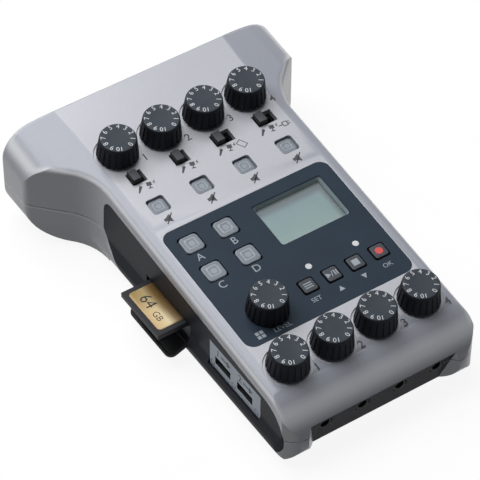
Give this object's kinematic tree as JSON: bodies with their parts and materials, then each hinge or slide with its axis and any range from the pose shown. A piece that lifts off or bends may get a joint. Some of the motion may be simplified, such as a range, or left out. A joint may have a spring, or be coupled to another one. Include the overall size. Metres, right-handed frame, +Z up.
{
  "type": "podcast recorder",
  "caption": "Wedge-shaped table-top podcast recorder with rear wings, channel and headphone knobs, slide switches, sound pads, a display, a memory card door and rear microphone sockets.",
  "frame": {"origin": "on the table, under the middle of the overall box", "axes": "+X to the user's right, +Y to the rear with the microphone sockets, +Z up"},
  "size_m": [0.115, 0.156, 0.0475],
  "materials": {
    "silver_shell": "fine metallic paint, satin",
    "charcoal_panel": "fine texture, matt",
    "slate_panel": "polished",
    "clear_window": "clear",
    "display_glass": "unlit display",
    "knob_black": "satin, grey top face",
    "frosted_key": "frosted, translucent",
    "dark_key": "satin",
    "black_plastic": "matt",
    "circuit_board": "solder mask",
    "plated_steel": "plated",
    "contact_brass": "plated",
    "foot_rubber": "matt",
    "cell_can": "printed sleeve",
    "card_plastic": "matt, gold label",
    "port_label": "printed plate"
  },
  "bodies": {
    "case": {"top_shell": "silver_shell", "bottom_shell": "silver_shell", "side_panel_left": "charcoal_panel", "side_panel_right": "charcoal_panel", "control_panel": "slate_panel", "display_window": "clear_window", "display_module": "display_glass", "indicator_lenses": "frosted_key", "port_plate": "port_label", "panel_board": "circuit_board", "main_board": "circuit_board", "board_link": "black_plastic", "gain_pots": "plated_steel", "headphone_pots": "plated_steel", "pad_pot": "plated_steel", "slide_switch_bodies": "black_plastic", "key_switches": "black_plastic", "power_switch_body": "black_plastic", "sd_socket": "plated_steel", "usb_sockets": "plated_steel", "headphone_jacks": "black_plastic", "phone_jack": "black_plastic", "xlr_shells": "plated_steel", "xlr_inserts": "black_plastic", "xlr_contacts": "contact_brass", "batteries": "cell_can", "battery_contacts": "plated_steel", "rubber_feet": "foot_rubber", "case_screws": "plated_steel"},
    "gain_knob_1_body": {"gain_knob_1": "knob_black"},
    "gain_knob_2_body": {"gain_knob_2": "knob_black"},
    "gain_knob_3_body": {"gain_knob_3": "knob_black"},
    "gain_knob_4_body": {"gain_knob_4": "knob_black"},
    "headphone_knob_1_body": {"headphone_knob_1": "knob_black"},
    "headphone_knob_2_body": {"headphone_knob_2": "knob_black"},
    "headphone_knob_3_body": {"headphone_knob_3": "knob_black"},
    "headphone_knob_4_body": {"headphone_knob_4": "knob_black"},
    "pad_volume_knob_body": {"pad_volume_knob": "knob_black"},
    "input_switch_1_body": {"input_switch_1": "black_plastic"},
    "input_switch_2_body": {"input_switch_2": "black_plastic"},
    "input_switch_3_body": {"input_switch_3": "black_plastic"},
    "input_switch_4_body": {"input_switch_4": "black_plastic"},
    "mute_key_1_body": {"mute_key_1": "frosted_key"},
    "mute_key_2_body": {"mute_key_2": "frosted_key"},
    "mute_key_3_body": {"mute_key_3": "frosted_key"},
    "mute_key_4_body": {"mute_key_4": "frosted_key"},
    "sound_pad_a_body": {"sound_pad_a": "frosted_key"},
    "sound_pad_b_body": {"sound_pad_b": "frosted_key"},
    "sound_pad_c_body": {"sound_pad_c": "frosted_key"},
    "sound_pad_d_body": {"sound_pad_d": "frosted_key"},
    "menu_key_body": {"menu_key": "dark_key"},
    "play_key_body": {"play_key": "dark_key"},
    "stop_key_body": {"stop_key": "dark_key"},
    "record_key_body": {"record_key": "dark_key"},
    "sd_card_body": {"sd_card": "card_plastic"},
    "sd_door_body": {"sd_door": "black_plastic"},
    "power_switch_body": {"power_switch": "black_plastic"},
    "battery_cover_body": {"battery_cover": "silver_shell"}
  },
  "joints": [
    {"name": "gain_knob_1_turn", "type": "hinge", "parent": "case", "child": "gain_knob_1_body", "pos_m": [-0.027, 0.04893, 0.0382], "axis": [0, -0.0932, 0.9956], "range_deg": [-155, 155]},
    {"name": "gain_knob_2_turn", "type": "hinge", "parent": "case", "child": "gain_knob_2_body", "pos_m": [-0.009, 0.04893, 0.0382], "axis": [0, -0.0932, 0.9956], "range_deg": [-155, 155]},
    {"name": "gain_knob_3_turn", "type": "hinge", "parent": "case", "child": "gain_knob_3_body", "pos_m": [0.009, 0.04893, 0.0382], "axis": [0, -0.0932, 0.9956], "range_deg": [-155, 155]},
    {"name": "gain_knob_4_turn", "type": "hinge", "parent": "case", "child": "gain_knob_4_body", "pos_m": [0.027, 0.04893, 0.0382], "axis": [0, -0.0932, 0.9956], "range_deg": [-155, 155]},
    {"name": "headphone_knob_1_turn", "type": "hinge", "parent": "case", "child": "headphone_knob_1_body", "pos_m": [-0.027, -0.0582, 0.02817], "axis": [0, -0.0932, 0.9956], "range_deg": [-155, 155]},
    {"name": "headphone_knob_2_turn", "type": "hinge", "parent": "case", "child": "headphone_knob_2_body", "pos_m": [-0.009, -0.0582, 0.02817], "axis": [0, -0.0932, 0.9956], "range_deg": [-155, 155]},
    {"name": "headphone_knob_3_turn", "type": "hinge", "parent": "case", "child": "headphone_knob_3_body", "pos_m": [0.009, -0.0582, 0.02817], "axis": [0, -0.0932, 0.9956], "range_deg": [-155, 155]},
    {"name": "headphone_knob_4_turn", "type": "hinge", "parent": "case", "child": "headphone_knob_4_body", "pos_m": [0.027, -0.0582, 0.02817], "axis": [0, -0.0932, 0.9956], "range_deg": [-155, 155]},
    {"name": "pad_volume_knob_turn", "type": "hinge", "parent": "case", "child": "pad_volume_knob_body", "pos_m": [-0.0199, -0.03538, 0.0303], "axis": [0, -0.0932, 0.9956], "range_deg": [-155, 155]},
    {"name": "input_switch_1_slide", "type": "slide", "parent": "case", "child": "input_switch_1_body", "axis": [1, 0, 0], "range_m": [0, 0.0019]},
    {"name": "input_switch_2_slide", "type": "slide", "parent": "case", "child": "input_switch_2_body", "axis": [1, 0, 0], "range_m": [0, 0.0019]},
    {"name": "input_switch_3_slide", "type": "slide", "parent": "case", "child": "input_switch_3_body", "axis": [1, 0, 0], "range_m": [0, 0.0038]},
    {"name": "input_switch_4_slide", "type": "slide", "parent": "case", "child": "input_switch_4_body", "axis": [1, 0, 0], "range_m": [0, 0.0038]},
    {"name": "mute_key_1_press", "type": "slide", "parent": "case", "child": "mute_key_1_body", "axis": [0, 0.0932, -0.9956], "range_m": [0, 0.0006], "stiffness_N_per_m": 1500},
    {"name": "mute_key_2_press", "type": "slide", "parent": "case", "child": "mute_key_2_body", "axis": [0, 0.0932, -0.9956], "range_m": [0, 0.0006], "stiffness_N_per_m": 1500},
    {"name": "mute_key_3_press", "type": "slide", "parent": "case", "child": "mute_key_3_body", "axis": [0, 0.0932, -0.9956], "range_m": [0, 0.0006], "stiffness_N_per_m": 1500},
    {"name": "mute_key_4_press", "type": "slide", "parent": "case", "child": "mute_key_4_body", "axis": [0, 0.0932, -0.9956], "range_m": [0, 0.0006], "stiffness_N_per_m": 1500},
    {"name": "sound_pad_a_press", "type": "slide", "parent": "case", "child": "sound_pad_a_body", "axis": [0, 0.0932, -0.9956], "range_m": [0, 0.0006], "stiffness_N_per_m": 1500},
    {"name": "sound_pad_b_press", "type": "slide", "parent": "case", "child": "sound_pad_b_body", "axis": [0, 0.0932, -0.9956], "range_m": [0, 0.0006], "stiffness_N_per_m": 1500},
    {"name": "sound_pad_c_press", "type": "slide", "parent": "case", "child": "sound_pad_c_body", "axis": [0, 0.0932, -0.9956], "range_m": [0, 0.0006], "stiffness_N_per_m": 1500},
    {"name": "sound_pad_d_press", "type": "slide", "parent": "case", "child": "sound_pad_d_body", "axis": [0, 0.0932, -0.9956], "range_m": [0, 0.0006], "stiffness_N_per_m": 1500},
    {"name": "menu_key_press", "type": "slide", "parent": "case", "child": "menu_key_body", "axis": [0, 0.0932, -0.9956], "range_m": [0, 0.0006], "stiffness_N_per_m": 1500},
    {"name": "play_key_press", "type": "slide", "parent": "case", "child": "play_key_body", "axis": [0, 0.0932, -0.9956], "range_m": [0, 0.0006], "stiffness_N_per_m": 1500},
    {"name": "stop_key_press", "type": "slide", "parent": "case", "child": "stop_key_body", "axis": [0, 0.0932, -0.9956], "range_m": [0, 0.0006], "stiffness_N_per_m": 1500},
    {"name": "record_key_press", "type": "slide", "parent": "case", "child": "record_key_body", "axis": [0, 0.0932, -0.9956], "range_m": [0, 0.0006], "stiffness_N_per_m": 1500},
    {"name": "sd_door_turn", "type": "hinge", "parent": "case", "child": "sd_door_body", "pos_m": [-0.039, -0.0034, 0.0077], "axis": [0, 1, 0], "range_deg": [0, 112]},
    {"name": "sd_card_slide", "type": "slide", "parent": "case", "child": "sd_card_body", "axis": [1, 0, 0], "range_m": [0, 0.0129]},
    {"name": "power_switch_slide", "type": "slide", "parent": "case", "child": "power_switch_body", "axis": [0, 1, 0], "range_m": [-0.00245, 0.00245]},
    {"name": "battery_cover_turn", "type": "hinge", "parent": "case", "child": "battery_cover_body", "pos_m": [0.02055, 0.0325, 0.003], "axis": [1, 0, 0], "range_deg": [0, 70]}
  ],
  "couplings": [
    {"joint": "sd_door_turn", "follows": "sd_card_slide", "rad_per_m": 151.5}
  ]
}
